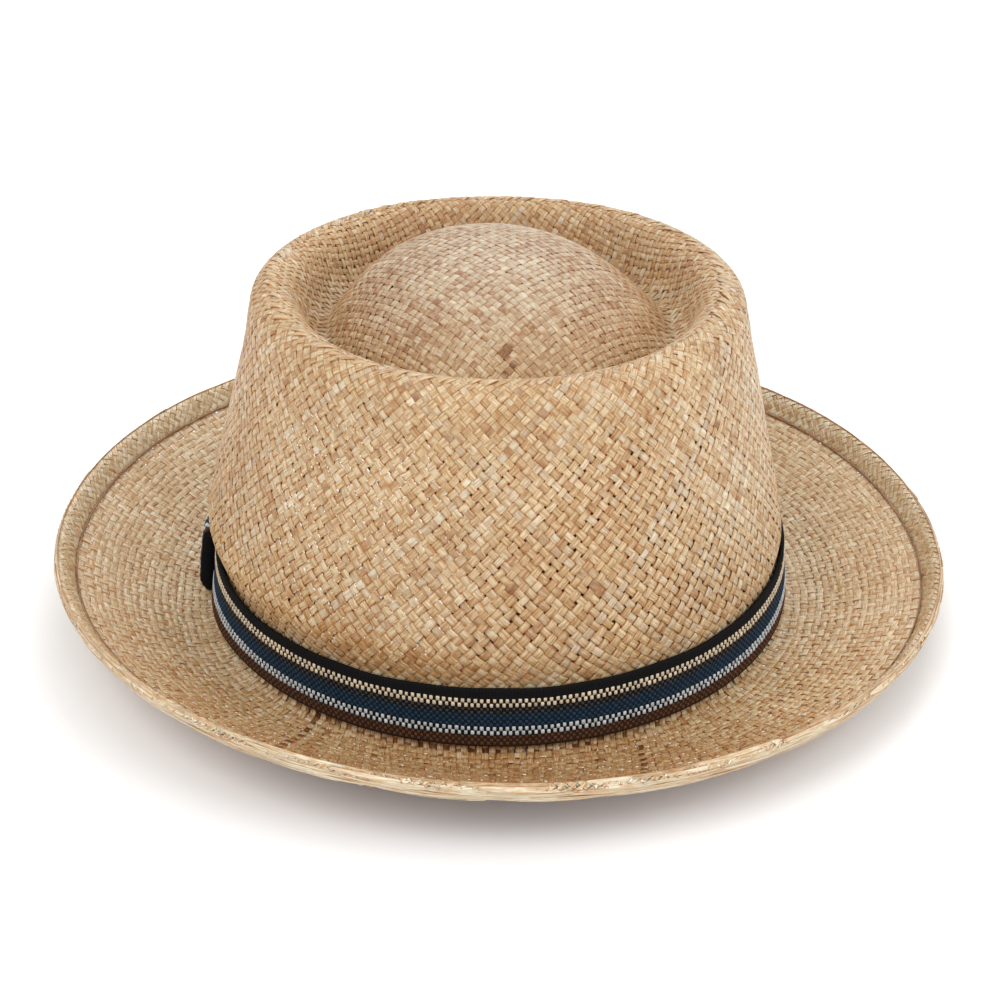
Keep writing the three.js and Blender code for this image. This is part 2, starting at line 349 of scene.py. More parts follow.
def stained(name, point, tone, reach=None, fade=1.0):
    """Tones with each stain on the strip of its piece that runs nearest to it, or on any within
    reach, where strips are made in groups."""
    for piece, x, y, length, darker in STAINS:
        if piece == name:
            away = np.linalg.norm(point[..., :2] - (x, y), axis=-1)
            nearest = away.min(1, keepdims=True)
            takes = nearest == nearest.min() if reach is None else nearest < reach
            tone = tone - takes * darker * smoothstep(-away, -length / 2 - fade, -length / 2)
    return tone


# Painted light and shade: how much lighter the straw is painted in each part of the hat than on the crown's
# front, to stand for how light falls there
PAINTED_LIGHT_BY_PART = {
    "dome": -0.11, "channel": -0.01, "back wall": -0.07, "crown right": 0.04,
    "brim front": -0.11, "brim sides": 0.17, "brim right": -0.02,
}


def looks_at(point, tone):
    """The straw's looks at a place: how light, with painted light and shade part by part, how pale and
    grey, and how many painted glints. out is 0 in the hat's middle and 1 at the crown's foot, and ahead is
    the angle from straight in front."""
    x, y, z = point[..., 0], point[..., 1], point[..., 2]
    out = np.hypot(x / HALF_X, y / HALF_Y)
    ahead = np.arctan2(x, -y)
    dome = smoothstep(-out, -0.66, -0.50)
    channel = smoothstep(-out, -0.80, -0.70) - dome
    brim = smoothstep(out, 1.0, 1.015)
    front = hump(ahead, 0.75)
    right = smoothstep(x, 30, 75) * (1 - brim) * (1 - dome) * (1 - channel)
    shares = {
        "dome": dome,
        "channel": channel,
        "back wall": smoothstep(y, 20, 60) * smoothstep(-out, -0.88, -0.80) * (1 - dome),
        "crown right": right,
        "brim front": front * brim,
        "brim sides": (1 - front) * brim,
        "brim right": brim * (x > 0),
    }
    for part, share in shares.items():
        tone = tone + PAINTED_LIGHT_BY_PART[part] * share
    grey_strips = np.clip(each(len(x), 0.22), 0, 0.6) * (1 - 0.9 * brim) * (1 - 0.6 * dome)
    top = smoothstep(z, 92, 118) * dome
    # 0.12 * right: the crown's right side is also painted paler, as painted light
    pale = np.clip(0.62 * top + 0.12 * (1 - brim) + 0.12 * right + grey_strips, 0, 1)
    # Painted glints: where small bright spots are painted on the strips, at the crown's front left and on
    # the brim in front
    left = hump(ahead + 0.50, 0.38) * smoothstep(z, 25, 40) * (1 - smoothstep(z, 85, 100))
    glint = 1.6 * left * (1 - brim) * (1 - dome) + brim * hump(ahead, 1.25)
    return {"tone": tone, "pale": pale, "glint": glint}


def turning(surface, s_from, s_to):
    """How far a strip at 45 degrees turns round the hat on its way, for each step of s."""
    s = np.arange(s_from, s_to, S_STEP)
    ring = look_up(surface, np.linspace(0, TAU, 24, endpoint=False)[:, None], s[None])
    radius = np.linalg.norm(ring[..., :2], axis=2).mean(0)
    step = np.linalg.norm(np.diff(ring, axis=1, append=ring[:, -1:]), axis=2).mean(0)
    return s, np.cumsum(step / radius) - step / radius


def along(value, way):
    """A number, or one that changes over the way: (ways, numbers)."""
    return value if np.ndim(value) == 0 else np.interp(way, *value)


def spiral_weave(names, count, s_from, s_to, width_share, height, hole=None, middle=MIDDLE,
                 surface=SURFACE, normals=NORMAL, under=DIP_PAINTED_SHADE, paler=None):
    """Two layings of strips in plain weave, each turning its own way round the hat at 45 degrees.
    height is how far a strip swings over and under the middle, hole how much narrower it is at a place,
    under how much darker it is painted where it dips, as painted shade, and paler how much paler at a
    place."""
    s_way, turn = turning(surface, s_from, s_to)
    cell = math.pi / count
    cells = int(turn[-1] / cell)
    m = np.repeat(np.arange(cells), len(SAMPLES))
    q = (m + np.tile(SAMPLES, cells) + 0.5) * cell
    s = np.interp(q, turn, s_way)
    wave = np.where(m % 2 == 0, 1, -1)
    pieces = []
    for side, name in ((1, names[0]), (-1, names[1])):
        start = np.arange(count)[:, None] / count * TAU + (0 if side > 0 else cell)
        jitter = wander(count, len(q), 6) * 0.20 + each(count, 0.08)
        angle = start + side * q[None] + jitter * cell * 1.2
        way = np.broadcast_to(s, angle.shape)
        point, normal = laid(angle, way, surface, normals)
        pitch = np.linalg.norm(point[..., :2], axis=2) * TAU / count * math.sqrt(0.5)
        share = width_share + each(count, 0.05) + wander(count, len(q), 4) * 0.09
        if hole is not None:
            share = share - hole(point)
        width = pitch * np.clip(share, 0.6, 1.2)
        lift = along(middle, way) + side * wave * along(height, way) + wander(count, len(q), 4) * 0.07
        centre = point + normal * lift[..., None]
        looks = looks_at(point, stained(name, point, tones(count, cells, len(SAMPLES))))
        # Painted shade where the strip dips under the one that crosses it
        looks["tone"] -= under * (side * wave < 0)
        if paler is not None:
            pale_share = paler(way, point)
            looks["tone"] += 0.34 * pale_share + 0.11 * smoothstep(point[..., 1], -60, 60)
            looks["pale"] = looks["pale"] * 0.2 + 0.45 * pale_share
        pieces.append(strip_mesh(name, centre, normal, width, looks))
    return pieces


def crown_holes(point):
    """Gaps between strips open a little in the middle of the crown's front, right of the middle."""
    front = smoothstep(-point[..., 1], 45, 80) * (0.25 + 0.75 * smoothstep(point[..., 0], -28, 0))
    level = smoothstep(point[..., 2], 20, 34) * (1 - smoothstep(point[..., 2], 84, 98))
    return 0.12 * front * level


CREST = AT["crest"]
# The crown's strips swing further near its foot, where the weave is coarser, than near the ridge
CROWN_SWING = ([AT["crown"] + 25, AT["crown"] + 60], [0.26, 0.14])
crown_pieces = spiral_weave(
    ("crown_straw_left", "crown_straw_right"), CROWN_STRIPS, AT["crown"] + 0.6, CREST + 1.5, CROWN_WIDTH,
    CROWN_SWING, crown_holes)

# Straw of the top: the weave starts in the middle of the dome and lies square over dome, channel and
# the inner side of the ridge, its strips at 45 degrees to the front.
DOME_PITCH = 2.4
DOME_REACH = AT["top"] - CREST + 2.0
DOME_TURN = math.radians(45)
DOME_SWING = 0.13
DOME_DIP_PAINTED_SHADE = 0.16


def dome_weave(names):
    """Two layings of straight strips, square to each other. Strips of one length are made together."""
    count = int(2 * DOME_REACH / DOME_PITCH)
    places = (np.arange(count) - (count - 1) / 2) * DOME_PITCH
    pieces = []
    for side, name in ((1, names[0]), (-1, names[1])):
        groups = {}
        for number, offset in enumerate(places):
            cells = np.flatnonzero(np.abs(places) < math.sqrt(max(DOME_REACH**2 - offset**2, 0)))
            if len(cells) >= 2:
                groups.setdefault(len(cells), []).append((number, offset, cells))
        parts = []
        for size, members in groups.items():
            number, offset = (np.array([member[k] for member in members])[:, None] for k in (0, 1))
            cell = np.repeat(np.array([member[2] for member in members]), len(SAMPLES), 1)
            strips, samples = cell.shape
            wave = np.where((cell + number) % 2 == 0, 1, -1)
            t = ((cell - (count - 1) / 2) + np.tile(SAMPLES, size)) * DOME_PITCH
            jitter = wander(strips, samples, 8) * 0.12 + each(strips, 0.05)
            off = offset + jitter * DOME_PITCH
            x, y = (t, off) if side > 0 else (off, t)
            turned_x = x * math.cos(DOME_TURN) - y * math.sin(DOME_TURN)
            turned_y = x * math.sin(DOME_TURN) + y * math.cos(DOME_TURN)
            angle, reach = np.arctan2(turned_y, turned_x), np.hypot(turned_x, turned_y)
            point, normal = laid(angle, AT["top"] - reach)
            real = np.linalg.norm(point[..., :2] - (DOME_SHIFT, 0), axis=2)
            squeeze = np.clip(real / np.maximum(reach, 1.0), 0.8, 1.03)
            share = np.clip(0.96 + wander(strips, samples, 5) * 0.06, 0.7, 1.02)
            lift = MIDDLE + side * wave * DOME_SWING + wander(strips, samples, 4) * 0.05
            lift = lift - 0.5 * smoothstep(reach, DOME_REACH - 5, DOME_REACH)
            centre = point + normal * lift[..., None]
            tone = tones(strips, size, len(SAMPLES))
            looks = looks_at(point, stained(name, point, tone, 0.6 * DOME_PITCH, 0.6))
            # Painted shade where the strip dips under the one that crosses it
            looks["tone"] -= DOME_DIP_PAINTED_SHADE * (side * wave < 0)
            parts.append(strip_mesh(name, centre, normal, DOME_PITCH * squeeze * share, looks))
        pieces.append(join(parts, name))
    return pieces


def join(parts, name):
    """One piece from several."""
    for part in parts:
        part.select_set(True)
    bpy.context.view_layer.objects.active = parts[0]
    bpy.ops.object.join()
    bpy.ops.object.select_all(action="DESELECT")
    parts[0].name = name
    parts[0].data.name = name
    return parts[0]


dome_pieces = dome_weave(("dome_straw_left", "dome_straw_right"))

# Ends along the ridge: where the two weaves meet, the cut ends of the strips are tucked in along the
# crest. They lie over it as a row of short slanted ends, unevenly spaced.
CREST_ENDS = 150
CREST_SAMPLES = 6
# Half an end's length round the hat in radians, half its way over the crest, and its width
CREST_REACH = 0.029
CREST_OVER = 1.9
CREST_WIDTH = 2.1


def crest_ends():
    t = np.linspace(-1, 1, CREST_SAMPLES)
    start = (np.arange(CREST_ENDS)[:, None] + each(CREST_ENDS, 0.25)) / CREST_ENDS * TAU
    angle = start + t * (CREST_REACH * (1 + each(CREST_ENDS, 0.20)))
    over = CREST_OVER + each(CREST_ENDS, 0.35)
    way = CREST - 0.2 + t * over + each(CREST_ENDS, 0.5)
    point, normal = laid(angle, way)
    lift = MIDDLE - 0.05 + (1 - t**4) * (0.42 + each(CREST_ENDS, 0.18))
    width = (1 - 0.35 * t**4) * (CREST_WIDTH + each(CREST_ENDS, 0.30))
    looks = looks_at(point, tones(CREST_ENDS, CREST_SAMPLES // 2, 2))
    return strip_mesh("ridge_straw", point + normal * lift[..., None], normal, width, looks)


ridge_pieces = [crest_ends()]

# Straw of the brim: the weave goes on outwards from under the ribbon and is drawn open as the brim
# widens, so that here one layer of strips runs outwards and the other round the hat.
BRIM_STRIPS = 296
BRIM_RINGS = 21
BRIM_FROM, BRIM_TO = 3.6, AT["crown"] + 0.3
# How far the strips lean in front, and over how many strips a ring is led back to its start
BRIM_LEAN = 0.75
RING_CLOSE = 4
# The weave's middle under the surface, lower over the flat ring, and its least height over the ground
BRIM_MIDDLE = ([AT["foot"] - 14, AT["foot"] - 2], [MIDDLE, -1.32])
BRIM_LEAST_HEIGHT = 0.15


def brim_weave():
    """One laying of strips outwards and one of rings. In front they lean, and swing further."""
    pitch = (BRIM_TO - BRIM_FROM) / BRIM_RINGS
    pieces = []
    for name, count, cells in (
        ("brim_straw_out", BRIM_STRIPS, BRIM_RINGS), ("brim_straw_round", BRIM_RINGS, BRIM_STRIPS),
    ):
        outwards = count == BRIM_STRIPS
        cell = np.repeat(np.arange(cells), len(SAMPLES))[None]
        run = cell + 0.5 + np.tile(SAMPLES, cells)
        strip = np.arange(count)[:, None]
        drift = strip + 0.5 + wander(count, run.size, 5) * 0.22 + each(count, 0.06)
        if not outwards:
            back = (drift[:, -1:] - drift[:, :1]) * (1 - run / RING_CLOSE)
            drift = np.where(run < RING_CLOSE, drift + back, drift)
        turn, ring = np.broadcast_arrays(*((drift, run) if outwards else (run, drift)))
        angle, way = turn / BRIM_STRIPS * TAU, BRIM_FROM + ring * pitch
        ahead = np.mod(angle - math.radians(90), TAU) - math.pi
        wider = np.log1p((AT["crown"] - way) / HALF_Y)
        angle = angle - BRIM_LEAN * np.sin(2 * ahead) * hump(ahead, 0.8) * wider
        front = hump(ahead, 0.9)
        point, normal = laid(angle, way)
        spacing = np.linalg.norm(point[..., :2], axis=2) * TAU / BRIM_STRIPS if outwards else pitch
        share = 1.0 - 0.06 * front + wander(count, run.size, 4) * 0.10 + each(count, 0.05)
        width = spacing * np.clip(share, 0.7, 1.15)
        wave = np.where((cell + strip) % 2 == 0, 1, -1) * (1 if outwards else -1)
        swing = wave * (0.12 + 0.17 * front)
        lift = along(BRIM_MIDDLE, way) + swing + wander(count, run.size, 4) * 0.07
        centre = point + normal * lift[..., None]
        centre[..., 2] = np.maximum(centre[..., 2], BRIM_LEAST_HEIGHT)
        looks = looks_at(point, stained(name, point, tones(count, cells, len(SAMPLES))))
        # Painted shade where the strip dips under the one that crosses it, strongest in front
        looks["tone"] -= DIP_PAINTED_SHADE * (0.2 + 1.8 * front) * (wave < 0)
        pieces.append(strip_mesh(name, centre, normal, width, looks, closed=not outwards))
    return pieces


brim_pieces = brim_weave()

# Hem: the straw folded over at the brim's edge. The weave wraps from the crease inside over the edge
# and down the outer side, where rows of pale strips overlap. A brown thread holds it at the crease.
HEM_STRIPS = 272
HEM_SHARE = 1.10
HEM_SWING = 0.08
HEM_MIDDLE = -0.32
HEM_DIP_PAINTED_SHADE = 0.05
# The fold's section in millimetres: place up the hem from its foot, place out of its inner face
HEM_PATH = [
    (-2.2, 0.15), (-1.0, 0.45), (1.0, 0.55), (HEM_WIDTH - 1.6, 0.45), (HEM_WIDTH - 0.5, 0.1),
    (HEM_WIDTH + 0.15, -0.7), (HEM_WIDTH + 0.25, -1.5), (HEM_WIDTH - 0.3, -2.3), (HEM_WIDTH - 1.4, -2.7),
    (HEM_WIDTH - 3.5, -2.8), (1.0, -2.8), (-0.6, -2.7),
]


def smooth_path(path, step):
    """Points at even steps on a smooth curve through a path's points."""
    path = np.array(path, float)
    size = np.linalg.norm(np.diff(path, axis=0), axis=1)
    way = np.concatenate([[0], np.cumsum(size)])
    slope = np.diff(path, axis=0) / size[:, None]
    tangent = np.vstack([slope[:1], slope, slope[-1:]])
    before, after = np.append(size, 1)[:, None], np.append(1, size)[:, None]
    tangent = (tangent[:-1] * before + tangent[1:] * after) / (before + after)
    s = np.arange(0, way[-1], step)
    k = np.clip(np.searchsorted(way, s, side="right") - 1, 0, len(size) - 1)
    t, h = ((s - way[k]) / size[k])[:, None], size[k][:, None]
    return curve(path[k], path[k + 1], tangent[k] * h, tangent[k + 1] * h, t)


def hem_frame(angle):
    """The hem's foot, the way up it, and the way out of its inner face, for each angle."""
    points = section_points(angle)[:, :2]
    up = unit(points[:, 0] - points[:, 1])
    around = np.stack([-HALF_X * np.sin(angle), HALF_Y * np.cos(angle), 0 * angle], 1)
    return points[:, 1], up, unit(np.cross(up, around))


def hem_table():
    """The fold's surface and normals over angle and way, as for the straw body."""
    angle = np.linspace(0, TAU, ANGLES + 1)
    foot, up, face = hem_frame(angle)
    path = smooth_path(HEM_PATH, S_STEP)
    surface = foot[:, None] + up[:, None] * path[:, :1] + face[:, None] * path[:, 1:]
    slope = np.gradient(path, axis=0)
    slope = slope / np.linalg.norm(slope, axis=1, keepdims=True)
    normal = up[:, None] * -slope[:, 1:] + face[:, None] * slope[:, :1]
    return surface, normal


HEM_SURFACE, HEM_NORMAL = hem_table()
HEM_LENGTH = (HEM_SURFACE.shape[1] - 2) * S_STEP


def hem_paler_outside_and_front_lit(way, point):
    """How much paler the hem is: on its outer side, and more in front, where the extra paleness is painted
    light; not on its inner side.
    """
    front = hump(np.arctan2(point[..., 0], -point[..., 1]), 0.9)
    return smoothstep(way / HEM_LENGTH, 0.30, 0.40) * (0.1 + 0.6 * front)


hem_pieces = spiral_weave(
    ("hem_straw_left", "hem_straw_right"), HEM_STRIPS, 0.0, HEM_LENGTH, HEM_SHARE, HEM_SWING, None,
    HEM_MIDDLE, HEM_SURFACE, HEM_NORMAL, HEM_DIP_PAINTED_SHADE, hem_paler_outside_and_front_lit)

HEM_PALE = 0.35
# How often the long strips waver up and down on their way round
WAVER_TURNS = (5, 9, 17, 31, 47, 71)


def hem_strips(name, centre, normal, width, tone, section=SECTION, closed=False):
    looks = {"tone": tone, "pale": np.full(tone.shape, HEM_PALE), "glint": np.zeros(tone.shape)}
    return strip_mesh(name, centre, normal, width, looks, section, closed)


def along_hem(name, rows, section, rough):
    """Long strips along the hem: place up it, out of its inner face, width, tone, facing out and up."""
    samples = 720
    angle = np.linspace(0, TAU, samples, endpoint=False)
    foot, up, face = hem_frame(angle)
    rise, out, width, tone, facing, tilt = (np.array(column)[:, None] for column in zip(*rows))
    waver = np.stack([
        sum(np.sin(angle * turns + rng.uniform(0, TAU)) * rng.normal(0, 0.5) / math.sqrt(turns)
            for turns in WAVER_TURNS)
        for _ in rows])
    rise = rise + waver * rough * 0.50
    out = out + np.roll(waver, 40, 1) * rough * 0.12
    centre = foot + up * rise[..., None] + face * out[..., None]
    normal = unit(face * facing[..., None] + up * tilt[..., None])
    tone = tone + wander(len(rows), samples, 6) * 0.14
    width = np.broadcast_to(width, rise.shape) * (1 + wander(len(rows), samples, 9) * 0.22)
    return hem_strips(name, centre, normal, width, tone, section, closed=True)


# Rows of short strips on the outer side: millimetres down from the edge, and out of the inner face
HEM_ENDS = 46
HEM_ROWS = [
    (-0.25, -1.1), (0.2, -2.0), (1.1, -2.60), (2.1, -2.85), (3.2, -2.92), (4.3, -2.92), (5.5, -2.90),
]
HEM_END_SAMPLES = 10
HEM_END_WIDTH = 1.45
HEM_END_TONE = 0.79


def hem_ends():
    """Slanted pale strips that overlap along the hem's outer side, in rows from its edge down."""
    count = HEM_ENDS * len(HEM_ROWS)
    t = np.linspace(-1, 1, HEM_END_SAMPLES)
    drop, out = (np.tile(column, HEM_ENDS)[:, None] for column in zip(*HEM_ROWS))
    middle = np.repeat(np.arange(HEM_ENDS), len(HEM_ROWS))[:, None] / HEM_ENDS * TAU
    middle = middle + rng.uniform(-0.07, 0.07, (count, 1))
    half = rng.uniform(0.075, 0.125, (count, 1))
    slant = each(count, 0.25, 0.40) * np.clip(drop + 0.5, 0.2, 1)
    angle = middle + t * half
    foot, up, face = (v.reshape(*angle.shape, 3) for v in hem_frame(angle.ravel()))
    rise = HEM_WIDTH - drop - slant * t + wander(count, HEM_END_SAMPLES, 4) * 0.15
    out = out + 0.30 * np.abs(t) ** 3 + each(count, 0.07)
    tilt = np.clip(1.5 - drop, 0, 3)
    normal = unit(up * tilt[..., None] - face)
    side = 1 - hump(np.cos(angle), 0.8)
    rise = rise + each(count, 0.16) * (drop < 0.5) * (1 - side)
    tone = each(count, 0.08, HEM_END_TONE) + 0.10 * smoothstep(np.sin(angle), -0.2, 0.6)
    tone = tone + wander(count, HEM_END_SAMPLES, 3) * 0.10 - 0.16 * side
    tone = tone - (0.12 + each(count, 0.08)) * (drop < 0) * (1 - 0.7 * side)
    width = each(count, 0.22, HEM_END_WIDTH) * (1 - 0.4 * t**4)
    centre = foot + up * rise[..., None] + face * out[..., None]
    return hem_strips("hem_edge_straw", centre, normal, width, tone)


hem_edge = hem_ends()
# Under them, four long strips fill what they leave open
hem_fill = along_hem("hem_fill_straw", [
    (HEM_WIDTH - 0.9, -0.55, 1.6, 0.50, 1, 1), (HEM_WIDTH - 0.75, -1.5, 1.9, 0.42, 0, 1),
    (HEM_WIDTH - 1.8, -2.45, 2.4, 0.46, -1, 0.3), (HEM_WIDTH - 3.9, -2.60, 2.6, 0.60, -1, 0),
], SECTION * (1, 1.3), 0.1)
THREAD_SECTION = np.array([(-0.5, 0.0), (-0.25, 0.32), (0.25, 0.32), (0.5, 0.0)])
hem_thread = along_hem("hem_thread", [(-1.5, 0.60, 0.65, 0.24, 1, 0)], THREAD_SECTION, 0.3)

straw_pieces = crown_pieces + dome_pieces + ridge_pieces + brim_pieces + hem_pieces
straw_pieces += [hem_edge, hem_fill, hem_thread]
for piece in straw_pieces:
    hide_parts("straw_body")
    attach(piece, "root")


# Looks of the straw: satin palm leaf with fine fibre lines and browner blotches, with painted warm shade
# along each strip's edges, in the seams. Its tone, paleness and painted glints are stored on each strip,
# and pale strips are greyer and cleaner.
class Value:
    """A socket of a shader's node tree, written into formulas."""

    def __init__(self, tree, socket):
        self.tree, self.socket = tree, socket

    def node(self, kind, settings=None, inputs=None, output=0):
        """A node of a kind: its settings or a ramp's stops, then its sockets' values or links."""
        made = self.tree.nodes.new(kind)
        for key, value in (settings or {}).items():
            if key == "stops":
                set_stops(made.color_ramp.elements, value)
            else:
                setattr(made, key, value)
        feed(made, inputs or {})
        return Value(self.tree, made.outputs[output])

    def math(self, operation, *others):
        return self.node("ShaderNodeMath", {"operation": operation}, dict(enumerate((self, *others))))

    def __add__(self, other):
        return self.math("ADD", other)

    def __sub__(self, other):
        return self.math("SUBTRACT", other)

    def __mul__(self, other):
        return self.math("MULTIPLY", other)

    def __rsub__(self, other):
        return (self * -1) + other

    __radd__ = __add__
    __rmul__ = __mul__

    def between(self, low, high):
        """0 below low, 1 above high, smooth between."""
        settings = {"interpolation_type": "SMOOTHSTEP"}
        return self.node("ShaderNodeMapRange", settings, {"Value": self, 1: low, 2: high})

    def mix(self, low, high, blend="MIX"):
        """The colour low where this value is 0, and high, or low blended with it, where it is 1."""
        settings = {"data_type": "RGBA", "blend_type": blend, "clamp_factor": True}
        return self.node("ShaderNodeMix", settings, {0: self, 6: low, 7: high}, output=2)

    def times(self, other):
        """This colour times another."""
        settings = {"data_type": "RGBA", "blend_type": "MULTIPLY"}
        return self.node("ShaderNodeMix", settings, {0: 1.0, 6: self, 7: other}, output=2)

    def ramp(self, stops):
        return self.node("ShaderNodeValToRGB", {"stops": stops}, {0: self})

    def noise(self, scale, detail, dimensions="3D"):
        settings = {"noise_dimensions": dimensions}
        inputs = {"Vector": self, "Scale": scale, "Detail": detail}
        return self.node("ShaderNodeTexNoise", settings, inputs)

    def bump(self, strength, distance):
        inputs = {"Strength": strength, "Distance": distance, "Height": self}
        return self.node("ShaderNodeBump", None, inputs)


def feed(node, inputs):
    """The values or links of a node's sockets."""
    for key, value in inputs.items():
        if isinstance(value, Value):
            value.tree.links.new(value.socket, node.inputs[key])
        else:
            node.inputs[key].default_value = value


def set_stops(elements, stops):
    while len(elements) < len(stops):
        elements.new(0.5)
    for element, (position, colour) in zip(elements, stops):
        element.position = position
        element.color = (*colour, 1.0)


def new_material(name):
    """A material, its shader node, and a value to start formulas from."""
    material = bpy.data.materials.new(name)
    material.use_nodes = True
    tree = material.node_tree
    shader = tree.nodes["Principled BSDF"]
    return material, shader, Value(tree, None)


def grey(value):
    return value.node("ShaderNodeCombineColor", None, {"Red": value, "Green": value, "Blue": value})


# From shade to light, for golden straw and for pale, greyer straw
GOLDEN = [
    (0.0, (0.105, 0.042, 0.014)), (0.22, (0.25, 0.120, 0.044)), (0.42, (0.39, 0.240, 0.108)),
    (0.62, (0.50, 0.370, 0.205)), (0.85, (0.61, 0.500, 0.335)), (1.0, (0.72, 0.64, 0.49)),
]
GREYER = [
    (0.0, (0.13, 0.050, 0.020)), (0.3, (0.27, 0.145, 0.072)), (0.5, (0.41, 0.345, 0.255)),
    (1.0, (0.74, 0.70, 0.59)),
]
FIBRE_SHADE = (0.76, 0.57, 0.38, 1.0)
PAINTED_SEAM_SHADE = (0.47, 0.165, 0.040, 1.0)
PAINTED_GLINT_COLOUR = (1.0, 0.93, 0.82, 1.0)


def straw_material(name):
    material, shader, start = new_material(name)
    tone, pale, glint = (
        start.node("ShaderNodeAttribute", {"attribute_name": key}, output="Fac")
        for key in ("tone", "pale", "glint"))
    place = start.node("ShaderNodeTexCoord", output="Object")
    uv = start.node("ShaderNodeUVMap", {"uv_map": "UVMap"})
    fine = uv.node("ShaderNodeMapping", None, {"Vector": uv, "Scale": (0.15, 3.6, 1.0)})
    fibre = fine.noise(1.0, 2.0, "2D")
    wide = uv.node("ShaderNodeMapping", None, {"Vector": uv, "Scale": (0.35, 2.0, 1.0)})
    streak = wide.noise(1.0, 2.0, "2D")
    across = uv.node("ShaderNodeSeparateXYZ", None, {0: uv}, output="Y")
    edge = ((across - 0.5).math("ABSOLUTE") * 2.0).between(0.70, 0.92)
    blotch = place.noise(42.0, 3.0)
    level = tone + (streak - 0.5) * 0.42 + (blotch - 0.5) * 0.26
    colour = pale.mix(level.ramp(GOLDEN), level.ramp(GREYER))
    clear = 1.0 - pale * 0.6
    lines = fibre.between(0.40, 0.56)
    colour = ((1.0 - lines) * clear).mix(colour, FIBRE_SHADE, "MULTIPLY")
    # Painted warm shade in the seams along each strip's edges, stronger where glints are painted
    colour = (edge * (glint * 0.2 + 0.65) * clear).mix(colour, PAINTED_SEAM_SHADE)
    # Painted glints: small bright spots painted along the strips' edges where glint is set
    spots = place.noise(1150.0, 0.0).between(0.64, 0.68)
    colour = (spots * glint * edge.between(0.1, 0.6)).mix(colour, PAINTED_GLINT_COLOUR)
    feed(shader, {
        "Base Color": colour, "Roughness": 0.46, "Specular IOR Level": 0.45,
        "Normal": fibre.bump(0.6, 0.0001),
        "Subsurface Weight": 0.22, "Subsurface Radius": (1.0, 0.45, 0.18), "Subsurface Scale": 0.0008,
    })
    return material


straw = straw_material("straw")
for piece in straw_pieces:
    piece.data.materials.append(straw)

# Ribbon: a stiff woven band stretched round the crown's foot, black at its upper edge, with cream and
# pale grey check rows, charcoal and navy between them, and brown flecks below. Its loose threads, the
# floats, stand a little proud of the ground weave, each row set half a step from the one before.
BAND_LENGTH = 606.0
BAND_THICKNESS = 1.2
CLEARANCE = 0.3
CHECKS = 312
FLOAT_STEP = BAND_LENGTH / CHECKS
# How far the cloth swells between its edges
CLOTH_SWELL = 0.12
# How far the band's lower edge is pushed out next to the keeper, where, and over what angle
LEFT_PUSH = 1.4
LEFT_PUSH_AT = math.radians(194)
LEFT_PUSH_ANGLE = math.radians(17)
# Mean height of the crown's side, for the share of it that the break takes up
MEAN_SHOULDER = 98.0
CREAM, CHARCOAL = (0.56, 0.47, 0.345), (0.035, 0.033, 0.034)
NAVY, PALE, BROWN = (0.008, 0.030, 0.060), (0.43, 0.46, 0.48), (0.085, 0.032, 0.012)
# Rows of floats from the top edge down: place across, colour, width and height in mm, lift in mm
FLOATS = [
    (0.198, CREAM, 1.10, 1.36, 0.26), (0.274, CREAM, 1.10, 1.36, 0.26),
    (0.345, CHARCOAL, 0.95, 0.95, 0.12), (0.400, CHARCOAL, 0.95, 0.95, 0.12),
    (0.455, NAVY, 1.02, 1.02, 0.13), (0.510, NAVY, 1.02, 1.02, 0.13),
    (0.565, NAVY, 1.02, 1.02, 0.13), (0.618, NAVY, 1.02, 1.02, 0.13),
    (0.684, PALE, 1.10, 1.36, 0.26), (0.760, PALE, 1.10, 1.36, 0.26),
    (0.832, BROWN, 0.90, 0.98, 0.13), (0.886, BROWN, 0.90, 0.98, 0.13), (0.940, BROWN, 0.90, 0.98, 0.13),
]


def crown_out(angle, height):
    """How far out the crown's side stands at a height over the brim."""
    shoulder = ridge_top(angle) - RIDGE_RADIUS
    heights, insets = zip((BREAK_RADIUS / MEAN_SHOULDER, 0.0), *CROWN_SIDE)
    out = -np.interp(height / shoulder, heights, insets) * (RIDGE_INSET - RIDGE_RADIUS)
    low = np.clip(BREAK_RADIUS - height, 0, BREAK_RADIUS)
    return out + BREAK_RADIUS - np.sqrt(BREAK_RADIUS**2 - low**2)


def band_point(angle, across, lift):
    """A point on the ribbon: across runs from its top edge, 0, to its bottom edge, 1. Its bottom edge
    stands off a little next to the keeper, in front."""
    pushed = LEFT_PUSH * hump(np.mod(angle, TAU) - LEFT_PUSH_AT, LEFT_PUSH_ANGLE)
    wave = 0.12 * np.sin(angle * 11 + 1.0) + 0.10 * np.sin(angle * 23)
    height = BAND_TOP - across * BAND_HEIGHT + wave * np.clip(1 - across * 4, 0, 1)
    flare = 0.25 * np.clip(1 - across * 5, 0, 1) ** 2
    out = crown_out(angle, height) + CLEARANCE + BAND_THICKNESS + flare + pushed * across**2
    return oval(angle, out + lift, height)


